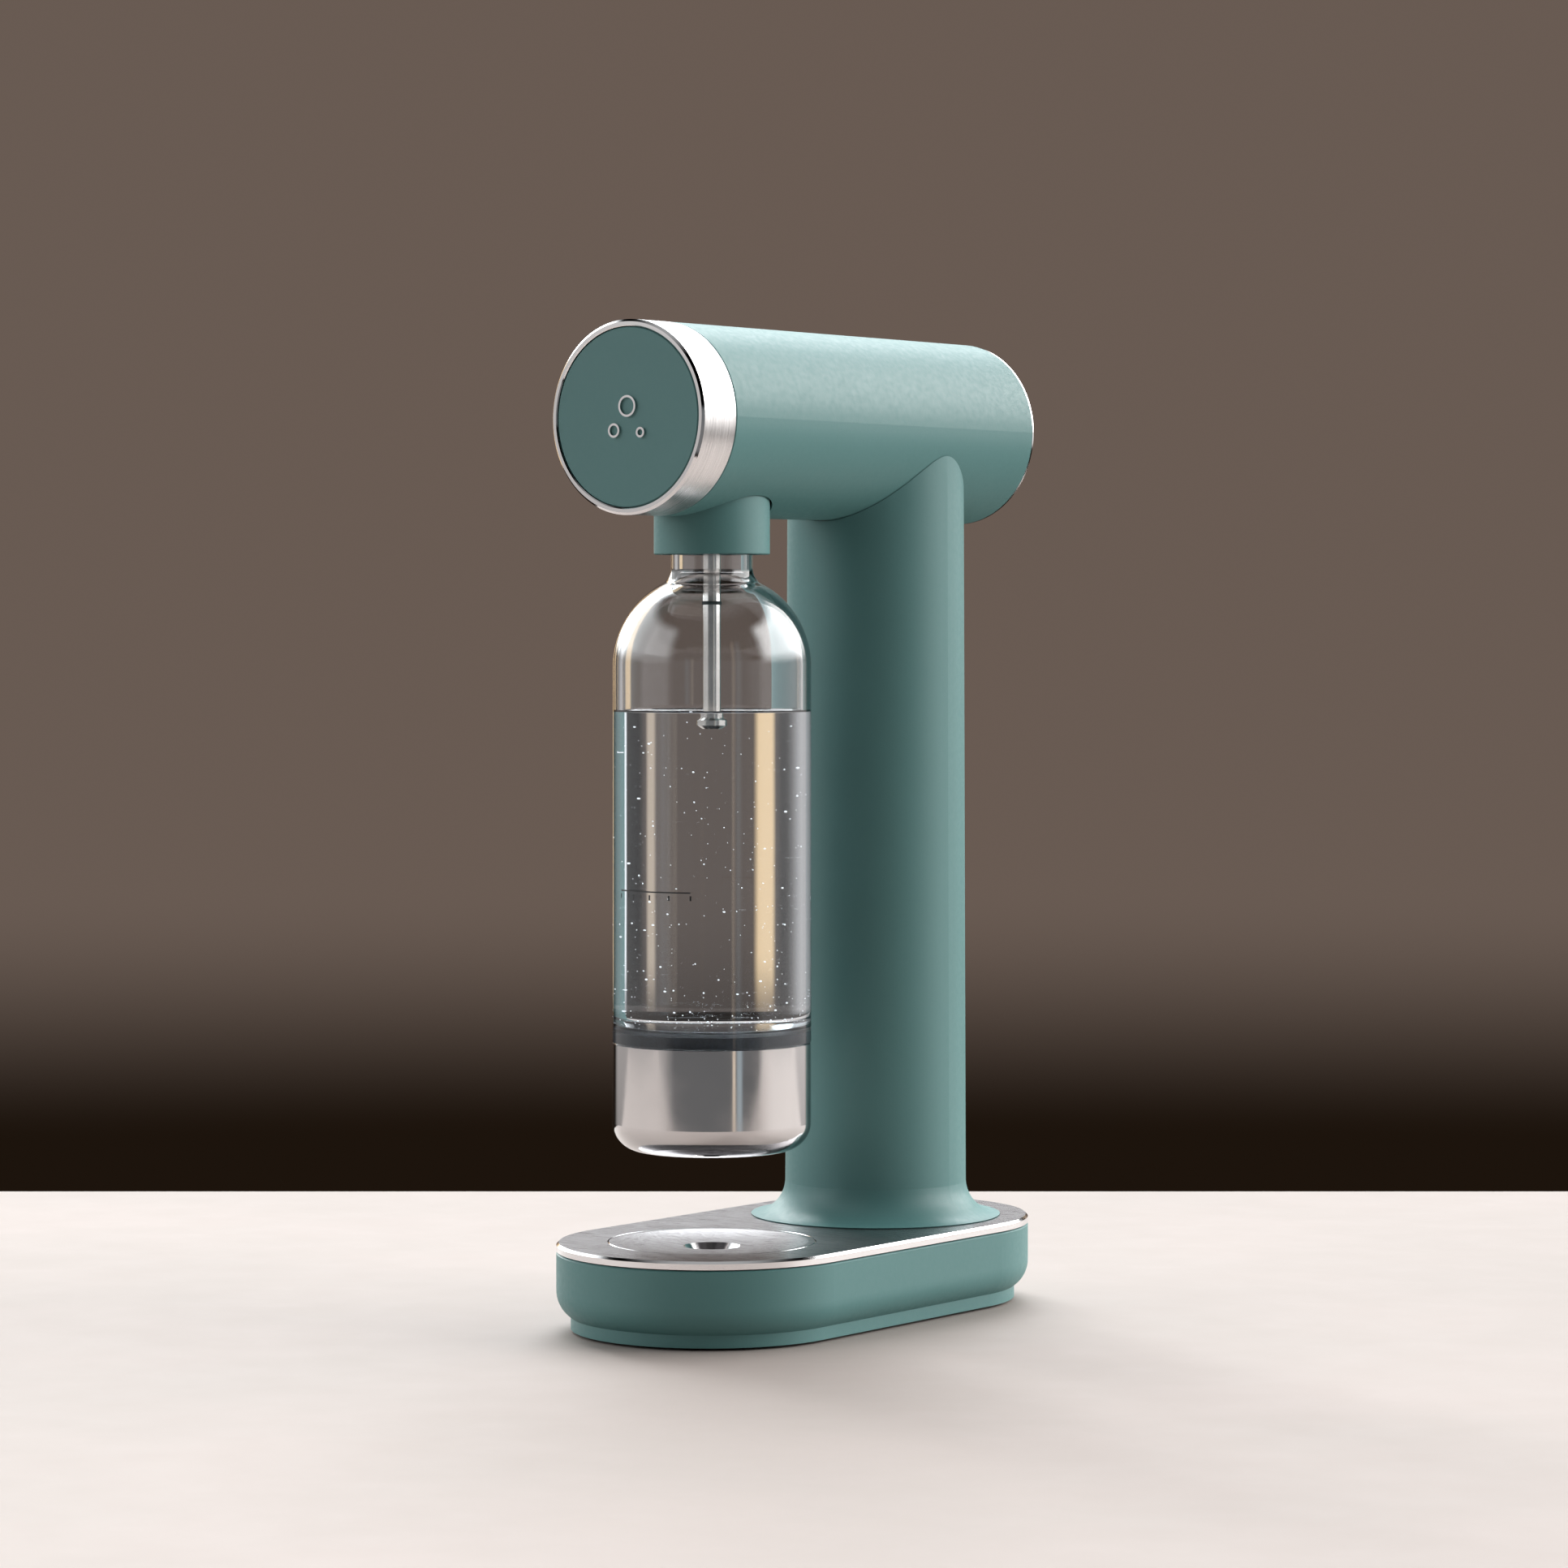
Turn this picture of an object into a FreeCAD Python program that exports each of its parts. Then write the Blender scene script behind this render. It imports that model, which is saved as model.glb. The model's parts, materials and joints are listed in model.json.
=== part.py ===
import FreeCAD, Part
import math
import os

import Sketcher

# A free-standing soda carbonator for a worktop. +Z is up, the knob faces -Y, and the origin is the
# middle of the base where it stands on the table. Lengths are in millimetres.

Vector = FreeCAD.Vector
ORIGIN_POINT = -1
HORIZONTAL_AXIS = -1
VERTICAL_AXIS = -2

doc = FreeCAD.newDocument("soda_carbonator")
sheet = doc.addObject("Spreadsheet::Sheet", "dim")
pieces = []

# ---------------------------------------------------------------- driving dimensions

DRIVING_DIMENSIONS = {
    # base
    "base_radius": 65.0,
    "base_run": 61.0,
    "plinth_inset": 6.1,
    "foot_height": 1.2,
    "step_height": 6.5,
    "tuck_height": 18.0,
    "shell_top": 33.6,
    "shell_wall": 3.0,
    "plate_top": 37.5,
    "plate_thickness": 3.4,
    "plate_chamfer": 1.0,
    "cover_thickness": 2.7,
    # drip tray
    "tray_radius": 43.8,
    "tray_sheet": 1.5,
    "drain_radius": 12.0,
    "lift_gap": 0.3,
    # column and gas cylinder
    "column_offset": 57.0,
    "column_top_radius": 38.9,
    "column_foot_radius": 39.85,
    "column_bore": 36.0,
    "flare_radius": 54.9,
    "flare_height": 15.0,
    "cylinder_radius": 30.0,
    "cylinder_wall": 3.0,
    "cylinder_foot": 6.5,
    "valve_foot": 340.0,
    "valve_top": 360.5,
    # head
    "head_axis": 383.5,
    "head_radius": 40.5,
    "head_wall": 2.0,
    "head_front": 94.8,
    "head_back": 120.6,
    "shadow_gap": 0.3,
    # knob
    "knob_front": 117.0,
    "knob_back": 95.4,
    "knob_wall": 2.5,
    "disc_radius": 37.3,
    "disc_thickness": 2.5,
    "lip_chamfer": 1.0,
    "shaft_radius": 4.0,
    "running_fit": 0.05,
    "cam_radius": 9.0,
    "cam_throw": 3.2,
    "plunger_gap": 0.3,
    # bottle holder
    "bottle_offset": 60.0,
    "collar_radius": 24.5,
    "collar_wall": 2.2,
    "collar_foot": 327.3,
    "collar_top": 354.0,
    "pivot_offset": 87.0,
    "pivot_height": 348.5,
    "pin_radius": 1.25,
    "seal_foot": 343.3,
    "nozzle_radius": 3.7,
    "nozzle_tip_radius": 4.8,
    "nozzle_end": 254.0,
    # bottle
    "bottle_radius": 42.0,
    "bottle_wall": 4.0,
    "neck_radius": 17.3,
    "neck_wall": 2.6,
    "mouth_height": 343.0,
    "dome_foot": 280.0,
    "dome_radius": 40.0,
    "neck_foot": 317.0,
    "cup_rim": 121.3,
    "cup_foot": 76.0,
    "cup_round": 12.0,
    "cup_sheet": 0.9,
}


class Size:
    """A number together with the sheet formula that it comes from, so that both stay in step."""

    def __init__(self, value, formula=None):
        self.value = float(value)
        self.formula = formula

    def text(self):
        if self.formula is None:
            return "(%s)" % round(self.value, 6)
        return self.formula

    def combine(self, sign, other, value):
        if self.formula is None and other.formula is None:
            return Size(value)
        return Size(value, "(%s %s %s)" % (self.text(), sign, other.text()))

    def __add__(self, other):
        return self.combine("+", size(other), self.value + size(other).value)

    def __radd__(self, other):
        return size(other) + self

    def __sub__(self, other):
        return self.combine("-", size(other), self.value - size(other).value)

    def __rsub__(self, other):
        return size(other) - self

    def __mul__(self, other):
        return self.combine("*", size(other), self.value * size(other).value)

    def __rmul__(self, other):
        return size(other) * self

    def __truediv__(self, other):
        return self.combine("/", size(other), self.value / size(other).value)

    def __neg__(self):
        return size(0) - self


def size(value):
    return value if isinstance(value, Size) else Size(value)


def fill_sheet():
    """Puts every driving dimension in the sheet under its own name."""
    for row, (name, value) in enumerate(DRIVING_DIMENSIONS.items(), start=1):
        sheet.set("A%d" % row, name)
        sheet.set("B%d" % row, str(value))
        sheet.setAlias("B%d" % row, name)
    doc.recompute()


def dim(name):
    return Size(DRIVING_DIMENSIONS[name], "dim." + name)


# ---------------------------------------------------------------- document helpers


def drive(thing, path, amount):
    """Sets a property of an object, bound to the sheet where its amount comes from there."""
    amount = size(amount)
    if amount.formula is None and "." not in path:
        setattr(thing, path, amount.value)
    else:
        thing.setExpression(path, amount.text())


def place(thing, x=0, y=0, z=0):
    for axis, amount in zip("xyz", (x, y, z)):
        if size(amount).value or size(amount).formula:
            drive(thing, "Placement.Base." + axis, amount)


def keep(thing, label):
    """Names a finished piece and puts it on the list of pieces to write."""
    for blank in doc.getObjectsByLabel(label):
        if blank is not thing:
            blank.Label = label + "_blank"
    thing.Label = label
    pieces.append(thing)
    return thing


def new_body(name):
    return doc.addObject("PartDesign::Body", name)


def new_sketch(body, plane_role, offset=0):
    plane = [item for item in body.Origin.OriginFeatures if item.Role == plane_role][0]
    sketch = body.newObject("Sketcher::SketchObject", body.Name + "_sketch")
    sketch.AttachmentSupport = (plane, [""])
    sketch.MapMode = "FlatFace"
    if size(offset).value:
        drive(sketch, "AttachmentOffset.Base.z", offset)
    return sketch


def pin_point(sketch, geometry, end, x, y):
    """Fixes one point of a sketch at its two coordinates."""
    for kind, axis, amount in (("DistanceX", VERTICAL_AXIS, x), ("DistanceY", HORIZONTAL_AXIS, y)):
        amount = size(amount)
        if amount.value == 0 and amount.formula is None:
            sketch.addConstraint(Sketcher.Constraint("PointOnObject", geometry, end, axis))
            continue
        rule = Sketcher.Constraint(kind, ORIGIN_POINT, 1, geometry, end, amount.value)
        number = sketch.addConstraint(rule)
        if amount.formula:
            sketch.setExpression("Constraints[%d]" % number, amount.formula)


def arc_middle(start, finish, radius):
    """Middle of the arc between two points that bulges to the right of the way from one to the other."""
    chord = finish - start
    half = chord.Length / 2
    rise = abs(radius) - math.sqrt(max(radius * radius - half * half, 0))
    right = Vector(chord.y, -chord.x, 0).normalize()
    return (start + finish) * 0.5 + right * math.copysign(rise, radius)


def add_outline(sketch, points):
    """Draws a closed outline. A point is (x, y), or (x, y, radius) where an arc leads to it.

    The arc bulges to the right of the way round for a positive radius, and to the left for a negative.
    """
    corners = [Vector(size(point[0]).value, size(point[1]).value, 0) for point in points]
    count = len(points)
    ends = []
    for number in range(count):
        following = (number + 1) % count
        start = corners[number]
        finish = corners[following]
        if len(points[following]) == 2:
            geometry = sketch.addGeometry(Part.LineSegment(start, finish), False)
            ends.append((geometry, 1, 2))
            continue
        radius = size(points[following][2])
        middle = arc_middle(start, finish, radius.value)
        if radius.value > 0:
            geometry = sketch.addGeometry(Part.Arc(start, middle, finish), False)
            ends.append((geometry, 1, 2))
        else:
            geometry = sketch.addGeometry(Part.Arc(finish, middle, start), False)
            ends.append((geometry, 2, 1))
    for number in range(count):
        following = (number + 1) % count
        geometry, first, last = ends[number]
        joined = Sketcher.Constraint("Coincident", geometry, last, ends[following][0], ends[following][1])
        sketch.addConstraint(joined)
        pin_point(sketch, geometry, first, points[number][0], points[number][1])
        if len(points[following]) == 3:
            shape_arc(sketch, geometry, points[number], points[following])


def shape_arc(sketch, geometry, start, finish):
    """Fixes the size of an arc: by its radius, or by its centre where it is a half circle."""
    radius = size(finish[2])
    across = size(finish[0]).value - size(start[0]).value
    along = size(finish[1]).value - size(start[1]).value
    half_circle = math.hypot(across, along) > 2 * abs(radius.value) - 1e-6
    if half_circle:
        kind, index = ("DistanceY", 1) if abs(across) > abs(along) else ("DistanceX", 0)
        amount = size(start[index])
        rule = Sketcher.Constraint(kind, ORIGIN_POINT, 1, geometry, 3, amount.value)
        amount_text = amount.formula
    else:
        rule = Sketcher.Constraint("Radius", geometry, abs(radius.value))
        positive = radius if radius.value > 0 else -radius
        amount_text = positive.formula
    number = sketch.addConstraint(rule)
    if amount_text:
        sketch.setExpression("Constraints[%d]" % number, amount_text)


def add_circle(sketch, x, y, radius):
    radius = size(radius)
    centre = Vector(size(x).value, size(y).value, 0)
    geometry = sketch.addGeometry(Part.Circle(centre, Vector(0, 0, 1), radius.value), False)
    pin_point(sketch, geometry, 3, x, y)
    number = sketch.addConstraint(Sketcher.Constraint("Radius", geometry, radius.value))
    if radius.formula:
        sketch.setExpression("Constraints[%d]" % number, radius.formula)


def stadium(radius, run):
    """Outline of two half circles joined by straight sides along Y."""
    radius = size(radius)
    run = size(run)
    return [(radius, -run, radius), (radius, run), (-radius, run, radius), (-radius, -run)]


def turned(name, points, x=0, y=0, z=0):
    """A body of revolution about its own Z axis, from an outline of (radius, height) points."""
    body = new_body(name)
    sketch = new_sketch(body, "XZ_Plane")
    add_outline(sketch, points)
    revolution = body.newObject("PartDesign::Revolution", name + "_turn")
    revolution.Profile = sketch
    revolution.ReferenceAxis = (sketch, ["V_Axis"])
    revolution.Angle = 360
    place(body, x, y, z)
    doc.recompute()
    return body


def turned_along_head(name, points, x=0):
    """A body of revolution about the head's axis, from an outline of (radius, Y) points."""
    body = turned(name, points)
    body.Placement = FreeCAD.Placement(Vector(0, 0, 0), FreeCAD.Rotation(Vector(1, 0, 0), -90))
    place(body, x, 0, dim("head_axis"))
    return body


def ring_outline(inner, outer, low, high):
    return [(inner, low), (outer, low), (outer, high), (inner, high)]


def padded(name, low, thickness, *draw):
    """A flat piece lying level, from functions that draw its outlines in one sketch."""
    body = new_body(name)
    sketch = new_sketch(body, "XY_Plane", low)
    for drawing in draw:
        drawing(sketch)
    pad = body.newObject("PartDesign::Pad", name + "_pad")
    pad.Profile = sketch
    drive(pad, "Length", thickness)
    doc.recompute()
    return body


def box(name, x, y, z):
    """A block between two limits on each axis."""
    block = doc.addObject("Part::Box", name)
    for side, (low, high) in zip(("Length", "Width", "Height"), (x, y, z)):
        drive(block, side, size(high) - size(low))
    place(block, x[0], y[0], z[0])
    return block


def rod(name, radius, start, length, direction="z"):
    """A round bar from its start point along +X, +Y or +Z."""
    bar = doc.addObject("Part::Cylinder", name)
    turns = {"x": FreeCAD.Rotation(Vector(0, 1, 0), 90), "y": FreeCAD.Rotation(Vector(1, 0, 0), -90)}
    bar.Placement = FreeCAD.Placement(Vector(0, 0, 0), turns.get(direction, FreeCAD.Rotation()))
    drive(bar, "Radius", radius)
    drive(bar, "Height", length)
    place(bar, *start)
    return bar


def cut(base, *tools):
    """What is left of the base once every tool has been taken out of it."""
    result = base
    for tool in tools:
        difference = doc.addObject("Part::Cut", base.Name + "_cut")
        difference.Base = result
        difference.Tool = tool
        result = difference
    doc.recompute()
    return result


def fused(*shapes):
    union = doc.addObject("Part::MultiFuse", shapes[0].Name + "_union")
    union.Shapes = list(shapes)
    doc.recompute()
    return union


def grouped(label, members):
    """Several identical solids that share one node."""
    group = doc.addObject("Part::Compound", label + "_group")
    group.Links = members
    doc.recompute()
    return keep(group, label)


def chamfer_edges(body, feature_name, amount, wanted):
    """Bevels the edges of a body's newest feature for which wanted(edge) is true."""
    tip = body.Tip
    names = ["Edge%d" % (n + 1) for n, edge in enumerate(tip.Shape.Edges) if wanted(edge)]
    bevel = body.newObject("PartDesign::Chamfer", feature_name)
    bevel.Base = (tip, names)
    drive(bevel, "Size", amount)
    body.Tip = bevel
    doc.recompute()


def fillet_edges(body, feature_name, amount, wanted):
    """Rounds the edges of a body's newest feature for which wanted(edge) is true."""
    tip = body.Tip
    names = ["Edge%d" % (n + 1) for n, edge in enumerate(tip.Shape.Edges) if wanted(edge)]
    round_off = body.newObject("PartDesign::Fillet", feature_name)
    round_off.Base = (tip, names)
    drive(round_off, "Radius", amount)
    body.Tip = round_off
    doc.recompute()


def screw_outline(head_radius, head_height, shank_radius, length):
    """Half section of a cheese-head screw that points up, its head's face at height zero."""
    bevel = 0.2
    return [
        (0, 0),
        (head_radius - bevel, 0),
        (head_radius, bevel),
        (head_radius, head_height),
        (shank_radius, head_height),
        (shank_radius, length - 0.6),
        (shank_radius - 0.6, length),
        (0, length),
    ]


def screws(label, outline, places):
    members = []
    for number, (x, y, z) in enumerate(places, start=1):
        members.append(turned("%s_%d" % (label, number), outline, x, y, z))
    return grouped(label, members)


def on_circle(radius, angle_degrees, centre_y):
    """Point at an angle round a vertical axis at x = 0 and the given y."""
    angle = math.radians(angle_degrees)
    across = size(radius) * round(math.cos(angle), 6)
    along = size(radius) * round(math.sin(angle), 6)
    return across, size(centre_y) + along


fill_sheet()

bottle_y = -dim("bottle_offset")
column_y = dim("column_offset")
head_z = dim("head_axis")
head_bore = dim("head_radius") - dim("head_wall")
plate_foot = dim("plate_top") - dim("plate_thickness")
cover_foot = dim("foot_height") + 0.6
cover_top = cover_foot + dim("cover_thickness")
guide_radius = dim("cylinder_radius") + 0.5
HOSE_X = -8.0
RELIEF_X = 9.0

# ---------------------------------------------------------------- base


def base_shell():
    """Painted shell: a section with a tucked-in foot, swept round a stadium, with screw bosses inside."""
    body = new_body("base_shell")
    outer = dim("base_radius")
    plinth = outer - dim("plinth_inset")
    spine = new_sketch(body, "XY_Plane")
    add_outline(spine, stadium(outer, dim("base_run")))
    section = new_sketch(body, "XZ_Plane", dim("base_run"))
    add_outline(section, [
        (outer - 0.6, dim("shell_top")),
        (outer - dim("shell_wall") * 5, dim("shell_top")),
        (outer - dim("shell_wall") * 5, dim("shell_top") - dim("shell_wall")),
        (outer - dim("shell_wall"), dim("shell_top") - dim("shell_wall")),
        (outer - dim("shell_wall"), dim("tuck_height")),
        (plinth - dim("shell_wall"), dim("step_height") + 1.5, -13),
        (plinth - dim("shell_wall"), dim("foot_height")),
        (plinth, dim("foot_height")),
        (plinth, dim("step_height")),
        (plinth + 0.8, dim("step_height") + 0.5),
        (outer, dim("tuck_height"), 13),
        (outer, dim("shell_top") - 0.6),
    ])
    pipe = body.newObject("PartDesign::AdditivePipe", "base_shell_sweep")
    pipe.Profile = section
    pipe.Spine = (spine, ["Edge1", "Edge2", "Edge3", "Edge4"])
    doc.recompute()
    bosses = new_sketch(body, "XY_Plane", cover_top)
    for x, y in boss_places():
        add_circle(bosses, x, y, 4.0)
    for x, y in boss_places():
        add_circle(bosses, x, y, 1.7)
    pad = body.newObject("PartDesign::Pad", "base_shell_bosses")
    pad.Profile = bosses
    drive(pad, "Length", dim("shell_top") - dim("shell_wall") / 2 - cover_top)
    doc.recompute()
    keep(body, "base_shell")


def boss_places():
    """Where the six screws hold the bottom cover, as (x, y)."""
    inset = dim("base_radius") - 13.5
    run = dim("base_run")
    slant = round(math.sqrt(0.5), 6)
    return [
        (inset, 0),
        (-inset, 0),
        (inset * slant, run + inset * slant),
        (-inset * slant, run + inset * slant),
        (inset * slant, -run - inset * slant),
        (-inset * slant, -run - inset * slant),
    ]


def base_bottom():
    """Bottom cover with its screws, and the round hatch that lets the gas cylinder in from below."""
    low = cover_foot
    radius = dim("base_radius") - dim("plinth_inset") - dim("shell_wall") - 0.2
    hatch_hole = dim("cylinder_radius") + 0.4
    cover = padded(
        "base_bottom_cover", low, dim("cover_thickness"),
        lambda sketch: add_outline(sketch, stadium(radius, dim("base_run"))),
        lambda sketch: add_circle(sketch, 0, column_y, hatch_hole),
        lambda sketch: [add_circle(sketch, x, y, 1.7) for x, y in boss_places()],
        lambda sketch: [add_circle(sketch, x, y, 1.6) for x, y in hatch_screw_places()],
    )
    recess = rod_group("cover_recess", 3.6, [(x, y, low) for x, y in boss_places()], 1.6)
    keep(cut(cover, recess), "base_bottom_cover")
    screws("base_screws", screw_outline(3.3, 1.6, 1.6, 14), [(x, y, low) for x, y in boss_places()])
    hatch = turned("cylinder_hatch", [
        (0, low - 1.0),
        (37.0, low - 1.0),
        (37.0, low),
        (hatch_hole - 0.2, low),
        (hatch_hole - 0.2, cover_top),
        (0, cover_top),
    ], 0, column_y)
    holes = rod_group("hatch_holes", 1.6, [(x, y, low - 2) for x, y in hatch_screw_places()], 4)
    keep(cut(hatch, holes), "cylinder_hatch")
    spots = [(x, y, low - 1.6) for x, y in hatch_screw_places()]
    screws("hatch_screws", screw_outline(2.6, 0.6, 1.5, 9), spots)


def rod_group(name, radius, places, length):
    """Upright round bars used as one tool."""
    bars = [rod(name, radius, spot, length) for spot in places]
    return fused(*bars)


def hatch_screw_places():
    return [on_circle(33.9, angle, column_y) for angle in (90, 210, 330)]


def rubber_feet():
    """Four pads under the bottom cover, which carry the whole machine."""
    pad_radius = 9.0
    edge = 0.6
    section = [(0, 0), (pad_radius - edge, 0), (pad_radius, edge), (pad_radius, cover_foot), (0, cover_foot)]
    members = []
    for x, y in ((36, 88), (-36, 88), (36, -88), (-36, -88)):
        members.append(turned("foot", section, x, y))
    grouped("rubber_feet", members)


def base_plate():
    """Brushed plate with a bevelled rim, a round seat for the tray and a hole for the gas cylinder."""
    plate = padded(
        "base_top_plate", plate_foot, dim("plate_thickness"),
        lambda sketch: add_outline(sketch, stadium(dim("base_radius"), dim("base_run"))),
        lambda sketch: add_circle(sketch, 0, bottle_y, dim("tray_radius") + dim("lift_gap")),
        lambda sketch: add_circle(sketch, 0, column_y, guide_radius + 3.4),
        lambda sketch: [add_circle(sketch, x, y, 2.2) for x, y in column_screw_places()],
    )
    rim = dim("base_radius").value

    def outer_top(edge):
        on_top = all(abs(v.Z - dim("plate_top").value) < 1e-6 for v in edge.Vertexes)
        wide = max(abs(v.X) for v in edge.Vertexes) > rim - 1e-3
        return on_top and wide

    chamfer_edges(plate, "plate_bevel", dim("plate_chamfer"), outer_top)
    keep(plate, "base_top_plate")
    gasket = padded(
        "plate_gasket", dim("shell_top"), plate_foot - dim("shell_top"),
        lambda sketch: add_outline(sketch, stadium(dim("base_radius") - 1.6, dim("base_run"))),
        lambda sketch: add_outline(sketch, stadium(dim("base_radius") - 10, dim("base_run"))),
    )
    keep(gasket, "plate_gasket")


def column_screw_places():
    return [on_circle(40.5, angle, column_y) for angle in (45, 135, 225, 315)]


def drip_parts():
    """Lift-out tray with a conical drain, and the pan that catches what runs through it."""
    rim = dim("tray_radius")
    top = dim("plate_top")
    drain = dim("drain_radius")
    sheet_thickness = dim("tray_sheet")
    tray = turned("drip_tray", [
        (rim - sheet_thickness, plate_foot + dim("lift_gap")),
        (rim, plate_foot + dim("lift_gap")),
        (rim, top - 0.3),
        (rim - 0.3, top),
        (rim - 3.0, top),
        (drain, top - 2.0, -220),
        (drain - 3.8, top - 6.6),
        (drain - 2.6, top - 6.6),
        (drain + 1.0, top - 2.0 - sheet_thickness),
        (rim - 3.0, top - sheet_thickness, 220),
        (rim - sheet_thickness, top - sheet_thickness),
    ], 0, bottle_y)
    keep(tray, "drip_tray")
    pan = turned("drip_pan", [
        (0, 16.0),
        (38.0, 16.0),
        (41.5, 20.0),
        (41.5, plate_foot - 1.6),
        (rim + 4.0, plate_foot - 1.6),
        (rim + 4.0, plate_foot),
        (40.0, plate_foot),
        (40.0, 21.0),
        (37.0, 17.6),
        (0, 17.6),
    ], 0, bottle_y)
    keep(pan, "drip_pan")


# ---------------------------------------------------------------- column and gas supply


def column():
    """Tapered column with a flared foot, cut to sit round the head like a saddle."""
    flare_top = dim("plate_top") + dim("flare_height")
    shell = turned("column_blank", [
        (dim("column_bore"), dim("plate_top")),
        (dim("flare_radius") - 0.5, dim("plate_top")),
        (dim("flare_radius"), dim("plate_top") + 0.5),
        (dim("column_foot_radius"), flare_top, -15.4),
        (dim("column_top_radius"), head_z),
        (dim("column_bore"), head_z),
    ], 0, column_y)
    saddle = rod("head_space", dim("head_radius") + dim("shadow_gap"), (0, -10, head_z), 140, "y")
    holes = rod_group("column_holes", 1.9, [(x, y, dim("plate_top")) for x, y in column_screw_places()], 5.6)
    keep(cut(shell, saddle, holes), "column_shell")
    spots = [(x, y, plate_foot - 2.0) for x, y in column_screw_places()]
    screws("column_screws", screw_outline(3.6, 2.0, 1.9, 10.4), spots)
    lower = turned("lower_cylinder_guide", [
        (guide_radius, cover_top),
        (38.0, cover_top),
        (38.0, cover_top + 6),
        (guide_radius + 3, cover_top + 6),
        (guide_radius + 3, 52),
        (guide_radius + 0.8, 52),
        (guide_radius, 50.5),
    ], 0, column_y)
    spots = [(x, y, cover_top - 0.1) for x, y in hatch_screw_places()]
    keep(cut(lower, rod_group("guide_holes", 1.5, spots, 5.5)), "lower_cylinder_guide")
    upper = turned("upper_cylinder_guide", [
        (guide_radius, 316),
        (dim("column_bore"), 316),
        (dim("column_bore"), 326),
        (guide_radius, 326),
    ], 0, column_y)
    spots = [(x, y, 315) for x, y in frame_screw_places()]
    keep(cut(upper, rod_group("upper_guide_holes", 1.1, spots, 12)), "upper_cylinder_guide")


def frame_screw_places():
    return [on_circle(32.1, angle, column_y) for angle in (0, 90, 180, 270)]


def gas_cylinder():
    """Standard 60 mm gas cylinder, its screw-in brass valve and the pad that it stands on."""
    radius = dim("cylinder_radius")
    wall = dim("cylinder_wall")
    foot = dim("cylinder_foot")
    neck = 12.5
    shoulder = dim("valve_foot") - 32
    pad = turned("cylinder_pad", ring_outline(0, radius - 4, cover_top, foot), 0, column_y)
    keep(pad, "cylinder_pad")
    tank = turned("co2_cylinder", [
        (0, foot),
        (radius - 6, foot),
        (radius, foot + 6, 6),
        (radius, shoulder),
        (neck + 4, dim("valve_foot") - 8, 24),
        (neck, dim("valve_foot") - 6),
        (neck, dim("valve_foot")),
        (8.0, dim("valve_foot")),
        (8.0, dim("valve_foot") - 10),
        (radius - wall, shoulder, -22),
        (radius - wall, foot + 9),
        (radius - wall - 5, foot + 4, -5),
        (0, foot + 4),
    ], 0, column_y)
    keep(tank, "co2_cylinder")
    valve_top = dim("valve_top")
    valve = turned("cylinder_valve", [
        (0, dim("valve_foot") - 9),
        (8.0, dim("valve_foot") - 9),
        (8.0, dim("valve_foot")),
        (12.2, dim("valve_foot")),
        (12.2, dim("valve_foot") + 7),
        (10.5, dim("valve_foot") + 7),
        (10.5, valve_top - 0.8),
        (9.7, valve_top),
        (2.6, valve_top),
        (2.6, valve_top - 13),
        (0, valve_top - 13),
    ], 0, column_y)
    keep(valve, "cylinder_valve")


receiver_top = dim("valve_top") + 5.5
outlet_z = receiver_top - 2.6
plunger_head_foot = receiver_top + 5.2
cam_foot = head_z - dim("cam_radius")
plunger_top = cam_foot - dim("plunger_gap")


def gas_valve():
    """Receiver that the cylinder screws into, with its seal, plunger, valve pin and return spring."""
    fit = dim("running_fit")
    stem = 2.0
    valve_top = dim("valve_top")
    receiver = turned("gas_receiver", [
        (12.4, dim("valve_foot") + 2),
        (16.0, dim("valve_foot") + 2),
        (16.0, receiver_top),
        (stem + fit, receiver_top),
        (stem + fit, valve_top + 1.5),
        (10.55, valve_top + 1.5),
        (10.55, dim("valve_foot") + 7.2),
        (12.4, dim("valve_foot") + 7.2),
    ], 0, column_y)
    outlet = rod("receiver_outlet", 2.0, (HOSE_X, column_y - 20, outlet_z), 14, "y")
    keep(cut(receiver, outlet), "gas_receiver")
    seal = turned("receiver_seal", ring_outline(4.0, 9.0, valve_top, valve_top + 1.5), 0, column_y)
    keep(seal, "receiver_seal")
    pin_top = valve_top - 1.0
    pin = turned("valve_pin", ring_outline(0, 1.2, valve_top - 9, pin_top), 0, column_y)
    keep(pin, "valve_pin")
    plunger = turned("valve_plunger", [
        (0, pin_top),
        (stem, pin_top),
        (stem, plunger_head_foot),
        (6.5, plunger_head_foot),
        (6.5, plunger_top - 0.4),
        (6.1, plunger_top),
        (0, plunger_top),
    ], 0, column_y)
    keep(plunger, "valve_plunger")
    coil("plunger_spring", 4.4, 0.35, receiver_top + 0.4, 1.1, 4, column_y)


def coil(label, mean_radius, wire_radius, low, pitch, turns, y):
    """Open coil spring about a vertical axis."""
    body = new_body(label)
    section = new_sketch(body, "XZ_Plane")
    add_circle(section, mean_radius, 0, wire_radius)
    helix = body.newObject("PartDesign::AdditiveHelix", label + "_helix")
    helix.Profile = section
    helix.ReferenceAxis = (section, ["V_Axis"])
    helix.Mode = "pitch-turns-angle"
    helix.Pitch = pitch
    helix.Turns = turns
    place(body, 0, y, low)
    doc.recompute()
    return keep(body, label)


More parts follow.
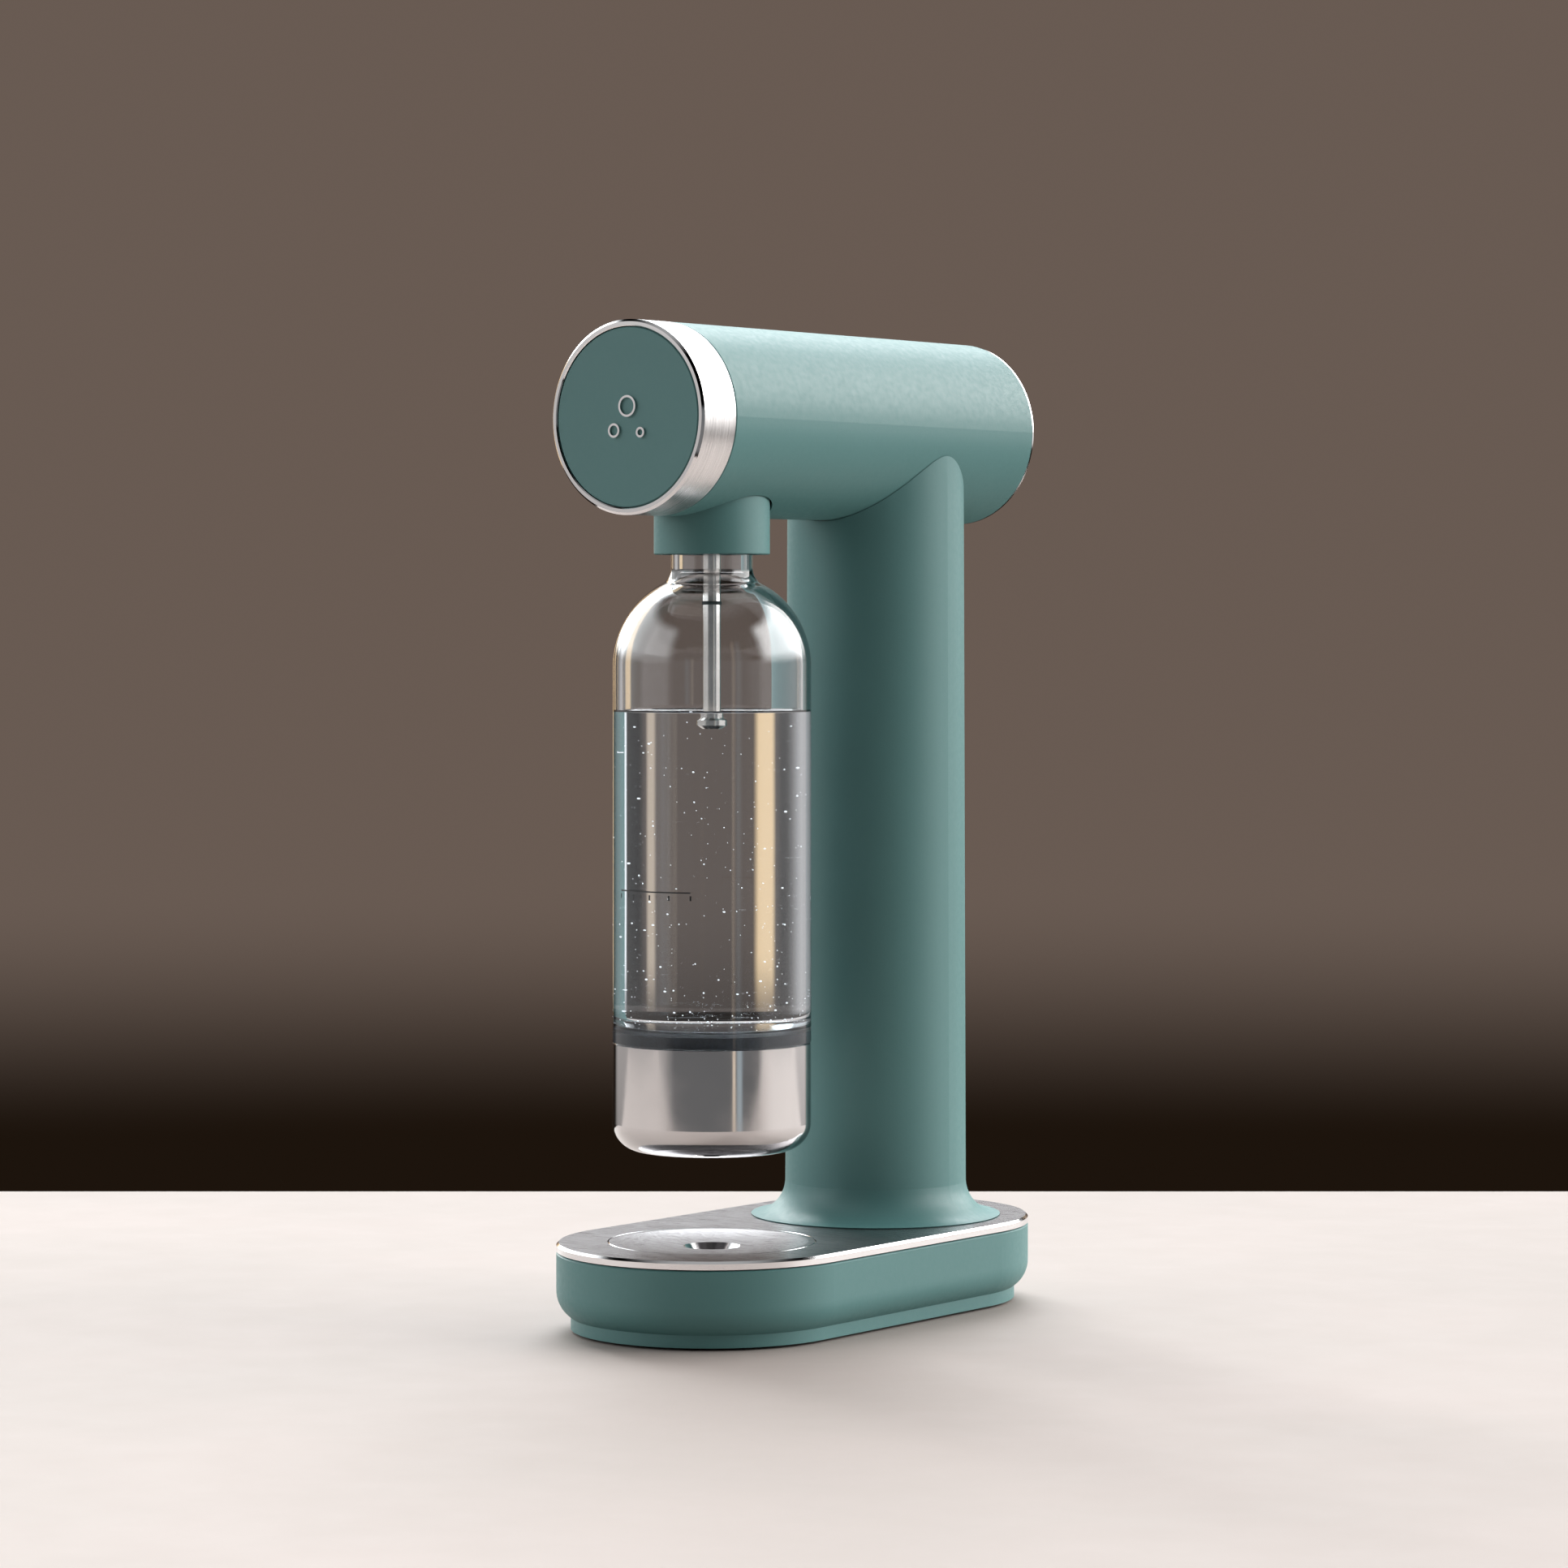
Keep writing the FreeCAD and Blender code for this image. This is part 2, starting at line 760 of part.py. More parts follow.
def add_bent_path(sketch, corners, bend):
    """Straight runs along the corner points with a tangent arc at each corner; returns their count."""
    start = corners[0]
    for before, corner, after in zip(corners, corners[1:], corners[2:]):
        backward = (before - corner).normalize()
        forward = (after - corner).normalize()
        half_turn = (math.pi - backward.getAngle(forward)) / 2
        first = corner + backward * (bend * math.tan(half_turn))
        last = corner + forward * (bend * math.tan(half_turn))
        middle = corner + (backward + forward).normalize() * (bend / math.cos(half_turn) - bend)
        sketch.addGeometry(Part.LineSegment(start, first), False)
        sketch.addGeometry(Part.Arc(first, middle, last), False)
        start = last
    sketch.addGeometry(Part.LineSegment(start, corners[-1]), False)
    return 2 * len(corners) - 3


def gas_line():
    """Hose from the receiver over to the bottle holder."""
    bend = 8.0
    outside, bore = 2.6, 1.3
    holder_y = bottle_y.value
    holder_z = 362.6
    high_z = 372.5
    slope_start_y = 11.3
    outlet_y = column_y.value - 23
    straight_end = 7.2
    body = new_body("gas_hose")
    spine = new_sketch(body, "YZ_Plane", HOSE_X)
    corners = [
        Vector(holder_y, holder_z, 0),
        Vector(holder_y, high_z, 0),
        Vector(slope_start_y, high_z, 0),
        Vector(outlet_y - straight_end, outlet_z.value, 0),
        Vector(outlet_y, outlet_z.value, 0),
    ]
    runs = add_bent_path(spine, corners, bend)
    section = new_sketch(body, "XY_Plane", holder_z)
    add_circle(section, HOSE_X, holder_y, outside)
    add_circle(section, HOSE_X, holder_y, bore)
    doc.recompute()
    pipe = body.newObject("PartDesign::AdditivePipe", "gas_hose_sweep")
    pipe.Profile = section
    pipe.Spine = (spine, ["Edge%d" % number for number in range(1, runs + 1)])
    doc.recompute()
    keep(body, "gas_hose")


# ---------------------------------------------------------------- head


def head():
    """Painted tube with openings for the column and the bottle holder, closed at the back by a cap."""
    tube = turned_along_head("head_tube", [
        (head_bore, -dim("head_front")),
        (dim("head_radius") - 0.3, -dim("head_front")),
        (dim("head_radius"), -dim("head_front") + 0.3),
        (dim("head_radius"), dim("head_back") - 0.2),
        (dim("head_radius") - 0.2, dim("head_back")),
        (head_bore, dim("head_back")),
    ])
    column_hole = rod("cylinder_way", 34.0, (0, column_y, 330), 40)
    slot = padded(
        "collar_opening", 330, 40,
        lambda sketch: add_outline(sketch, [
            (25.3, bottle_y - 1.6, 25.3),
            (25.3, bottle_y + 0.4),
            (-25.3, bottle_y + 0.4, 25.3),
            (-25.3, bottle_y - 1.6),
        ]),
    )
    keep(cut(tube, column_hole, slot), "head_tube")
    back = dim("head_back")
    rim = turned_along_head("rear_trim_ring", [
        (head_bore - 0.2, back - 3.0),
        (head_bore, back - 3.0),
        (head_bore, back),
        (dim("head_radius"), back),
        (dim("head_radius"), back + 0.9),
        (dim("head_radius") - 0.9, back + 1.8),
        (dim("head_radius") - 2.6, back + 1.8),
        (dim("head_radius") - 2.6, back - 3.0),
    ])
    keep(rim, "rear_trim_ring")
    cap = turned_along_head("rear_cap", [
        (0, back - 1.4),
        (head_bore - 0.8, back - 1.4),
        (head_bore - 0.8, back + 0.9),
        (head_bore - 1.4, back + 1.5),
        (0, back + 1.5),
    ])
    keep(cap, "rear_cap")


def head_frame():
    """Chassis inside the head: it screws to the column, holds the receiver and the rear bearing."""
    neck_low = 326.0
    plate_low = 352.0
    plate_high = 355.5
    plate = padded(
        "head_frame_plate", plate_low, plate_high - plate_low,
        lambda sketch: add_outline(sketch, [(-20, -29), (20, -29), (20, 100), (-20, 100)]),
        lambda sketch: add_circle(sketch, 0, column_y, 16.0),
    )
    neck = turned("head_frame_neck", ring_outline(guide_radius, 33.6, neck_low, plate_low), 0, column_y)
    pedestal = box("bearing_pedestal", (-11, 11), (76, 80), (plate_high, head_z + 10))
    bearing_hole = rod("bearing_hole", 6.5, (0, 70, head_z), 20, "y")
    spots = [(x, y, neck_low - 1) for x, y in frame_screw_places()]
    screw_holes = rod_group("frame_screw_holes", 1.0, spots, 10)
    keep(cut(fused(plate, neck, pedestal), bearing_hole, screw_holes), "head_frame")
    spots = [(x, y, neck_low - 11.6) for x, y in frame_screw_places()]
    screws("frame_screws", screw_outline(1.9, 1.6, 1.0, 20), spots)


def bearings():
    """Front bulkhead and the two bushes that carry the drive shaft."""
    shaft_hole = dim("shaft_radius") + dim("running_fit")
    bulkhead = turned_along_head("front_bulkhead", [
        (7.0, -94.0),
        (head_bore, -94.0),
        (head_bore, -90.0),
        (11.0, -90.0),
        (11.0, -86.0),
        (7.0, -86.0),
    ])
    keep(bulkhead, "front_bulkhead")
    front = turned_along_head("front_bush", [
        (shaft_hole, -95.0),
        (8.5, -95.0),
        (8.5, -94.0),
        (7.0, -94.0),
        (7.0, -86.0),
        (shaft_hole, -86.0),
    ])
    keep(front, "front_bush")
    rear = turned_along_head("rear_bush", [
        (shaft_hole, 75.0),
        (8.0, 75.0),
        (8.0, 76.0),
        (6.5, 76.0),
        (6.5, 80.0),
        (shaft_hole, 80.0),
    ])
    keep(rear, "rear_bush")
    stops = []
    stop_circle = 29
    for angle in (-9.5, 54.5):
        x = stop_circle * round(math.sin(math.radians(angle)), 6)
        z = stop_circle * round(math.cos(math.radians(angle)), 6)
        stops.append(rod("stop_pin", 2.0, (x, -102.0, head_z + z), 8.0, "y"))
    grouped("knob_stop_pins", stops)


# ---------------------------------------------------------------- knob and drive


def knob():
    """Turning knob: a bright ring round a painted disc, on a hub that is pressed on the shaft."""
    front = -dim("knob_front")
    back = -dim("knob_back")
    outer = dim("head_radius")
    inner = outer - dim("knob_wall")
    lip = dim("disc_radius") + 0.35
    chamfer = dim("lip_chamfer")
    disc_back = front + dim("disc_thickness") + 0.4
    ring = turned_along_head("knob_ring", [
        (inner, back),
        (outer, back),
        (outer, front + chamfer),
        (outer - chamfer, front),
        (lip + 0.4, front),
        (lip, front + 0.4),
        (lip, disc_back),
        (inner, disc_back),
    ])
    keep(ring, "knob_ring")
    disc = turned_along_head("knob_disc", [
        (0, front + 0.4),
        (dim("disc_radius") - 0.4, front + 0.4),
        (dim("disc_radius"), front + 0.8),
        (dim("disc_radius"), disc_back),
        (0, disc_back),
    ])
    keep(disc, "knob_disc")
    hub_back = -96.4
    hub = turned_along_head("knob_hub_blank", [
        (0, disc_back),
        (inner, disc_back),
        (inner, -97.0),
        (inner - 2, -97.0),
        (inner - 2, disc_back + 3),
        (10.0, disc_back + 3),
        (10.0, hub_back),
        (dim("shaft_radius"), hub_back),
        (dim("shaft_radius"), disc_back + 3),
        (0, disc_back + 3),
    ])
    stop_rib = box("stop_rib", (-2.5, 2.5), (disc_back + 2.5, -98.0), (head_z + 24, head_z + 35.8))
    keep(fused(hub, stop_rib), "knob_hub")


def knob_mark():
    """Plain bubble mark on the knob: three raised rings of rising size."""
    members = []
    front = -dim("knob_front") + 0.4
    band, height = 0.9, 0.9
    for x, z, radius in ((-6.5, -5.5, 3.0), (0.5, 4.5, 4.5), (7.5, -6.5, 2.2)):
        ring = turned("bubble_ring", ring_outline(radius - band, radius, 0, height))
        ring.Placement = FreeCAD.Placement(Vector(0, 0, 0), FreeCAD.Rotation(Vector(1, 0, 0), -90))
        place(ring, x, front - height, head_z + z)
        members.append(ring)
    grouped("knob_mark", members)


def drive_line():
    """Shaft from the knob to the eccentric that presses the plunger, its clip and the return spring."""
    radius = dim("shaft_radius")
    shaft = turned_along_head("drive_shaft", [
        (0, -110.6),
        (radius - 0.5, -110.6),
        (radius, -110.1),
        (radius, 81.0),
        (radius - 0.8, 81.0),
        (radius - 0.8, 82.2),
        (radius, 82.2),
        (radius, 84.0),
        (0, 84.0),
    ])
    keep(shaft, "drive_shaft")
    clip = turned_along_head("shaft_clip", ring_outline(radius - 0.8, 6.4, 81.0, 82.2))
    keep(clip, "shaft_clip")
    disc = rod("cam_disc", dim("cam_radius"), (dim("cam_throw"), column_y - 5, head_z), 10, "y")
    boss = rod("cam_boss", 6.5, (0, column_y + 5, head_z), 8, "y")
    bore = rod("cam_bore", radius, (0, column_y - 6, head_z), 20, "y")
    keep(cut(fused(disc, boss), bore), "valve_cam")
    coil_along_head("knob_return_spring", 14.0, 0.9, -107.6, 2.6, 4)


def coil_along_head(label, mean_radius, wire_radius, low, pitch, turns):
    """Torsion spring wound round the drive shaft's axis."""
    body = coil(label, mean_radius, wire_radius, 0, pitch, turns, 0)
    body.Placement = FreeCAD.Placement(Vector(0, 0, 0), FreeCAD.Rotation(Vector(1, 0, 0), -90))
    place(body, 0, low, head_z)
    return body


# ---------------------------------------------------------------- tilting bottle holder


def bottle_collar():
    """Painted collar with a hinge lug at the front, hung from a pin inside the head."""
    outer = dim("collar_radius")
    inner = outer - dim("collar_wall")
    blank = turned("collar_blank", [
        (inner - 1.3, dim("collar_foot")),
        (outer - 0.4, dim("collar_foot")),
        (outer, dim("collar_foot") + 0.4),
        (outer, dim("collar_top")),
        (inner, dim("collar_top")),
        (inner, dim("collar_foot") + 0.8),
        (inner - 1.3, dim("collar_foot") + 0.8),
    ], 0, bottle_y)
    pivot_y = -dim("pivot_offset")
    pivot_z = dim("pivot_height")
    lug = box("hinge_lug", (-5, 5), (pivot_y - 1.8, pivot_y + 4.0), (pivot_z - 1.8, pivot_z + 1.8))
    hole_radius = dim("pin_radius") + dim("running_fit")
    hole = rod("hinge_hole", hole_radius, (-20, pivot_y, pivot_z), 40, "x")
    keep(cut(fused(blank, lug), hole), "bottle_collar")
    ears = []
    for low in (-8.4, 5.4):
        ears.append(box("hinge_ear", (low, low + 3), (-90, pivot_y + 1.6), (pivot_z - 2.1, pivot_z + 5)))
    bridge = box("hinge_bridge", (-8.4, 8.4), (-90, pivot_y + 1.6), (pivot_z + 3.3, pivot_z + 5))
    pin_hole = rod("ear_hole", dim("pin_radius"), (-20, pivot_y, pivot_z), 40, "x")
    keep(cut(fused(bridge, *ears), pin_hole), "hinge_bracket")
    keep(rod("hinge_pin", dim("pin_radius"), (-8.4, pivot_y, pivot_z), 16.8, "x"), "hinge_pin")


def nozzle_parts():
    """Block that closes the collar and feeds the carbonating tube, with seal, relief valve and unions."""
    seal_low = dim("seal_foot")
    block_low = seal_low + 2.4
    inner = dim("collar_radius") - dim("collar_wall")
    tube = dim("nozzle_radius")
    block = turned("nozzle_block_blank", [
        (tube, seal_low),
        (7.5, seal_low),
        (7.5, block_low),
        (inner, block_low),
        (inner, block_low + 7.5),
        (15.0, block_low + 7.5),
        (15.0, block_low + 10.5),
        (0, block_low + 10.5),
        (0, block_low + 4.0),
        (tube, block_low + 4.0),
    ], 0, bottle_y)
    seat_low = block_low + 6.0
    relief_seat = rod("relief_seat", 3.5, (RELIEF_X, bottle_y, seat_low), 6)
    hose_seat = rod("hose_seat", 2.5, (HOSE_X, bottle_y, seat_low), 6)
    keep(cut(block, relief_seat, hose_seat), "nozzle_block")
    seal = turned("bottle_seal", ring_outline(7.5, 19.0, seal_low, block_low), 0, bottle_y)
    keep(seal, "bottle_seal")
    relief = turned("relief_valve", [
        (0, seat_low),
        (3.5, seat_low),
        (3.5, block_low + 10.5),
        (4.6, block_low + 10.5),
        (4.6, block_low + 13.5),
        (2.4, block_low + 15.0),
        (0, block_low + 15.0),
    ], RELIEF_X, bottle_y)
    keep(relief, "relief_valve")
    nut = turned("hose_union", [
        (0, seat_low),
        (2.5, seat_low),
        (2.5, block_low + 10.5),
        (4.8, block_low + 10.5),
        (4.8, block_low + 15.0),
        (2.8, 362.2),
        (0, 362.2),
    ], HOSE_X, bottle_y)
    keep(nut, "hose_union")
    receiver_nut = turned_along_head("receiver_union", [
        (2.7, column_y - 23),
        (4.6, column_y - 23),
        (4.6, column_y - 13.8),
        (2.7, column_y - 13.8),
    ])
    place(receiver_nut, HOSE_X, 0, outlet_z)
    receiver_body = rod("receiver_clear", 16.0, (0, column_y, 340), 40)
    keep(cut(receiver_nut, receiver_body), "receiver_union")
    pipe = turned("nozzle_tube", [
        (2.4, dim("nozzle_end") + 10),
        (tube, dim("nozzle_end") + 10),
        (tube, block_low + 4.0),
        (2.4, block_low + 4.0),
    ], 0, bottle_y)
    keep(pipe, "nozzle_tube")
    tip_radius = dim("nozzle_tip_radius")
    tip = turned("nozzle_tip", [
        (1.0, dim("nozzle_end")),
        (tip_radius - 1.6, dim("nozzle_end")),
        (tip_radius, dim("nozzle_end") + 1.4),
        (tip_radius, dim("nozzle_end") + 3.6),
        (tube, dim("nozzle_end") + 4.6),
        (tube, dim("nozzle_end") + 10),
        (1.0, dim("nozzle_end") + 10),
    ], 0, bottle_y)
    keep(tip, "nozzle_tip")
    ring = turned("nozzle_ring", ring_outline(tube, tube + 0.5, 306.2, 307.6), 0, bottle_y)
    keep(ring, "nozzle_ring")


LUG_ANGLES = (30, 150, 270)


def lock_ring():
    """Ring that turns in the collar with the bottle and holds it by three lugs in open slots."""
    inner = dim("neck_radius") + 0.3
    outer = dim("collar_radius") - dim("collar_wall") - 0.3
    low = dim("collar_foot") + 1.1
    ring = turned("lock_ring_blank", ring_outline(inner, outer, low, 342.8), 0, bottle_y)
    slots = []
    for angle in LUG_ANGLES:
        slots.append(radial_block("lug_slot", 15.0, 20.4, 4.5, low - 1, 344, angle))
    keep(cut(ring, *slots), "lock_ring")


def radial_block(name, near, far, half_width, low, high, angle):
    """Block that points away from the bottle's axis at an angle."""
    block = box(name, (near, far), (-half_width, half_width), (low, high))
    turn = FreeCAD.Rotation(Vector(0, 0, 1), angle)
    shift = turn.multVec(Vector(near, -half_width, 0))
    block.Placement = FreeCAD.Placement(Vector(0, 0, 0), turn)
    place(block, shift.x, bottle_y + shift.y, low)
    return block


# ---------------------------------------------------------------- bottle


def bottle():
    """Clear bottle in a steel cup. One moulding, packed as floor, wall, shoulder and neck."""
    outer = dim("bottle_radius")
    inner = outer - dim("bottle_wall")
    foot = dim("cup_rim") + 0.3
    floor = dim("cup_rim") + 6.4
    floor_round = 5
    wall_foot = floor + floor_round
    dome_foot = dim("dome_foot")
    skirt_foot = dim("cup_rim") - 14
    skirt_inner = 36.0
    skirt_outer = outer - 1.0
    keep(turned("bottle_floor", [
        (0, foot),
        (skirt_inner, foot),
        (skirt_inner, skirt_foot),
        (skirt_outer, skirt_foot),
        (skirt_outer, foot),
        (outer, foot),
        (outer, wall_foot),
        (inner, wall_foot),
        (inner - floor_round, floor, -floor_round),
        (0, floor),
    ], 0, bottle_y), "bottle_floor")
    keep(turned("bottle_body", ring_outline(inner, outer, wall_foot, dome_foot), 0, bottle_y), "bottle_body")

    neck = dim("neck_radius")
    bore = neck - dim("neck_wall")
    neck_foot = dim("neck_foot")
    inside_drop = 3.3
    mouth = dim("mouth_height")
    lip = 0.6
    dome = dim("dome_radius")
    blank = turned("shoulder_blank", [
        (outer, dome_foot),
        (neck, neck_foot, dome),
        (neck, mouth - lip),
        (neck - lip, mouth),
        (bore + lip, mouth),
        (bore, mouth - lip),
        (bore, neck_foot - inside_drop),
        (inner, dome_foot, -(dome - dim("bottle_wall"))),
    ], 0, bottle_y)

    def neck_corner(edge):
        level = edge.Vertexes[0].Z
        outside = abs(level - neck_foot.value) < 1e-3
        inside = abs(level - neck_foot.value + inside_drop) < 1e-3
        return len(edge.Vertexes) == 1 and (outside or inside)

    fillet_edges(blank, "neck_round", 7.0, neck_corner)
    lugs = []
    for angle in LUG_ANGLES:
        lugs.append(radial_block("neck_lug", 16.0, 19.8, 4.0, 333.0, 336.0, angle))

    def slab(name, low, high):
        return box(name, (-45, 45), (bottle_y - 45, bottle_y + 45), (low, high))

    keep(cut(blank, slab("above_neck_foot", neck_foot, mouth + 1)), "bottle_shoulder")
    keep(cut(fused(blank, *lugs), slab("below_neck_foot", dome_foot - 1, neck_foot)), "bottle_neck")
    bottle_cup(outer - 0.1)


def bottle_cup(cup_outer):
    """Steel cup round the bottle's foot, with a dished base."""
    sheet_thickness = dim("cup_sheet")
    rounding = dim("cup_round")
    foot = dim("cup_foot")
    dish, dish_radius, ring_radius = 0.8, 18.0, 22.0
    cup = turned("bottle_base_cup", [
        (0, foot + dish),
        (dish_radius, foot + dish),
        (ring_radius, foot),
        (cup_outer - rounding, foot),
        (cup_outer, foot + rounding, rounding),
        (cup_outer, dim("cup_rim")),
        (cup_outer - sheet_thickness, dim("cup_rim")),
        (cup_outer - sheet_thickness, foot + rounding),
        (cup_outer - rounding, foot + sheet_thickness, -(rounding - sheet_thickness)),
        (ring_radius + 0.3, foot + sheet_thickness),
        (dish_radius + 0.3, foot + dish + sheet_thickness),
        (0, foot + dish + sheet_thickness),
    ], 0, bottle_y)
    keep(cup, "bottle_base_cup")


# ---------------------------------------------------------------- build, check and write

base_shell()
base_bottom()
rubber_feet()
base_plate()
drip_parts()
column()
gas_cylinder()
gas_valve()
gas_line()
head()
head_frame()
bearings()
knob()
knob_mark()
drive_line()
bottle_collar()
nozzle_parts()
lock_ring()
bottle()
doc.recompute()


def check_document():
    """Stops with a message if any object failed or any piece has no sound solid."""
    for item in doc.Objects:
        if "Invalid" in item.State or "Error" in item.State:
            raise RuntimeError("%s (%s) failed: %s" % (item.Name, item.Label, item.State))
    for piece in pieces:
        shape = piece.Shape
        if shape.isNull() or not shape.isValid() or not shape.Solids:
            raise RuntimeError("%s has no valid solid" % piece.Label)


check_document()
os.makedirs("parts", exist_ok=True)
for piece in pieces:
    piece.Shape.exportStep("parts/%s.step" % piece.Label)
    bounds = piece.Shape.BoundBox
    limits = (bounds.XMin, bounds.XMax, bounds.YMin, bounds.YMax, bounds.ZMin, bounds.ZMax)
    written = " ".join("%.1f" % limit for limit in limits)
    print("%-24s solids %d  %s" % (piece.Label, len(piece.Shape.Solids), written))
print("pieces", len(pieces))
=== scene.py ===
import json
import math
import random

import bmesh
import bpy
from mathutils import Matrix, Vector


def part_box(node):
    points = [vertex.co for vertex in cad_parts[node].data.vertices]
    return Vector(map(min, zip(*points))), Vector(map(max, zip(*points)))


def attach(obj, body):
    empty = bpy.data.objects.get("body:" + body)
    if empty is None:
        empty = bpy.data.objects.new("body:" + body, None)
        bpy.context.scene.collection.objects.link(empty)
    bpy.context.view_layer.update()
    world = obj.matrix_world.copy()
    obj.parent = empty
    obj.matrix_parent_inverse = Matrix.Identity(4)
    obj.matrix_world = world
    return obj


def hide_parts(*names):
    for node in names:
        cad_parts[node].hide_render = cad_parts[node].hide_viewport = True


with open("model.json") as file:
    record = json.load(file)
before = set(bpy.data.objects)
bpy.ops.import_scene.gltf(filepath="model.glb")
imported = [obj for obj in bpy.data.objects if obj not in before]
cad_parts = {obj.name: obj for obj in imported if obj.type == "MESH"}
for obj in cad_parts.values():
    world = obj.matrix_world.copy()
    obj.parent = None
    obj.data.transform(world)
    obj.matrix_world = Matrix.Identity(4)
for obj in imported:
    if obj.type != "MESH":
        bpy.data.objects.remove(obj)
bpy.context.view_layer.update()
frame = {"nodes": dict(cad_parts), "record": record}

nodes = frame["nodes"]

MM = 0.001

# ---------------------------------------------------------------- sizes taken from the frame

wall_low, wall_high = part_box("bottle_body")
bottle_axis = Vector(((wall_low.x + wall_high.x) / 2, (wall_low.y + wall_high.y) / 2, 0))
bottle_radius = (wall_high.y - wall_low.y) / 2
bottle_wall = 4.0 * MM
skirt_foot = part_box("bottle_floor")[0].z
mouth_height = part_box("bottle_neck")[1].z
neck_radius = 17.3 * MM
neck_wall = 2.6 * MM
neck_round = 7.0 * MM
dome_foot = wall_high.z
dome_radius = 40.0 * MM
cup_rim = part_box("bottle_base_cup")[1].z
floor_height = cup_rim + 6.4 * MM
foot_height = cup_rim + 0.3 * MM
punt_height = floor_height - 1.4 * MM
punt_radius = 36.0 * MM
floor_round = 5.0 * MM
water_height = 261.0 * MM


# ---------------------------------------------------------------- materials


class Finish:
    """A procedural material: its shader, and short ways to add the nodes that feed it."""

    def __init__(self, name, color, roughness, metallic=0.0):
        self.material = bpy.data.materials.new(name)
        self.material.use_nodes = True
        self.tree = self.material.node_tree
        self.shader = self.tree.nodes["Principled BSDF"]
        self.set("Base Color", (*color, 1.0))
        self.set("Roughness", roughness)
        self.set("Metallic", metallic)

    def set(self, socket, value):
        self.shader.inputs[socket].default_value = value

    def add(self, kind, **values):
        node = self.tree.nodes.new(kind)
        for name, value in values.items():
            setattr(node, name, value)
        return node

    def link(self, source, target):
        self.tree.links.new(source, target)

    def coordinates(self, scale=(1, 1, 1)):
        """Object coordinates in metres, stretched by a scale on each axis."""
        place = self.add("ShaderNodeTexCoord")
        mapping = self.add("ShaderNodeMapping")
        mapping.inputs["Scale"].default_value = scale
        self.link(place.outputs["Object"], mapping.inputs["Vector"])
        return mapping.outputs["Vector"]

    def noise(self, scale, detail=2.0, stretch=(1, 1, 1)):
        texture = self.add("ShaderNodeTexNoise")
        texture.inputs["Scale"].default_value = scale
        texture.inputs["Detail"].default_value = detail
        self.link(self.coordinates(stretch), texture.inputs["Vector"])
        return texture.outputs["Fac"]

    def spread(self, source, low, high, start=0.3, stop=0.7):
        """Maps a grey value to a range."""
        mapped = self.add("ShaderNodeMapRange")
        mapped.inputs["From Min"].default_value = start
        mapped.inputs["From Max"].default_value = stop
        mapped.inputs["To Min"].default_value = low
        mapped.inputs["To Max"].default_value = high
        self.link(source, mapped.inputs["Value"])
        return mapped.outputs["Result"]

    def mix_colors(self, factor, first, second):
        mix = self.add("ShaderNodeMix", data_type="RGBA")
        self.link(factor, mix.inputs["Factor"])
        for index, color in ((6, first), (7, second)):
            if isinstance(color, tuple):
                mix.inputs[index].default_value = (*color, 1.0)
            else:
                self.link(color, mix.inputs[index])
        return mix.outputs[2]

    def mix_values(self, factor, first, second):
        mix = self.add("ShaderNodeMix", data_type="FLOAT")
        self.link(factor, mix.inputs["Factor"])
        for index, value in ((2, first), (3, second)):
            if isinstance(value, float):
                mix.inputs[index].default_value = value
            else:
                self.link(value, mix.inputs[index])
        return mix.outputs[0]

    def bump(self, height, strength, distance):
        node = self.add("ShaderNodeBump")
        node.inputs["Strength"].default_value = strength
        node.inputs["Distance"].default_value = distance
        self.link(height, node.inputs["Height"])
        self.link(node.outputs["Normal"], self.shader.inputs["Normal"])

    def facing(self, axis, low, high):
        """One where the surface's own normal leans along an axis by between two amounts, else zero."""
        geometry = self.add("ShaderNodeNewGeometry")
        split = self.add("ShaderNodeSeparateXYZ")
        self.link(geometry.outputs["True Normal"], split.inputs["Vector"])
        size = self.add("ShaderNodeMath", operation="ABSOLUTE")
        self.link(split.outputs[axis], size.inputs[0])
        above = self.add("ShaderNodeMath", operation="GREATER_THAN")
        above.inputs[1].default_value = low
        below = self.add("ShaderNodeMath", operation="LESS_THAN")
        below.inputs[1].default_value = high
        both = self.add("ShaderNodeMath", operation="MULTIPLY")
        self.link(size.outputs[0], above.inputs[0])
        self.link(size.outputs[0], below.inputs[0])
        self.link(above.outputs[0], both.inputs[0])
        self.link(below.outputs[0], both.inputs[1])
        return both.outputs[0]


def painted_finish():
    """Matt teal green enamel with the faint pebble of a sprayed coat."""
    finish = Finish("teal_enamel", (0.084, 0.212, 0.208), 0.5)
    cloud = finish.spread(finish.noise(9.0, 3.0), 0.0, 1.0)
    finish.link(finish.mix_colors(cloud, (0.081, 0.206, 0.202), (0.087, 0.218, 0.214)),
                finish.shader.inputs["Base Color"])
    finish.link(finish.spread(finish.noise(420.0, 4.0), 0.43, 0.55), finish.shader.inputs["Roughness"])
    finish.bump(finish.noise(1500.0, 3.0), 0.12, 0.0002)
    return finish.material


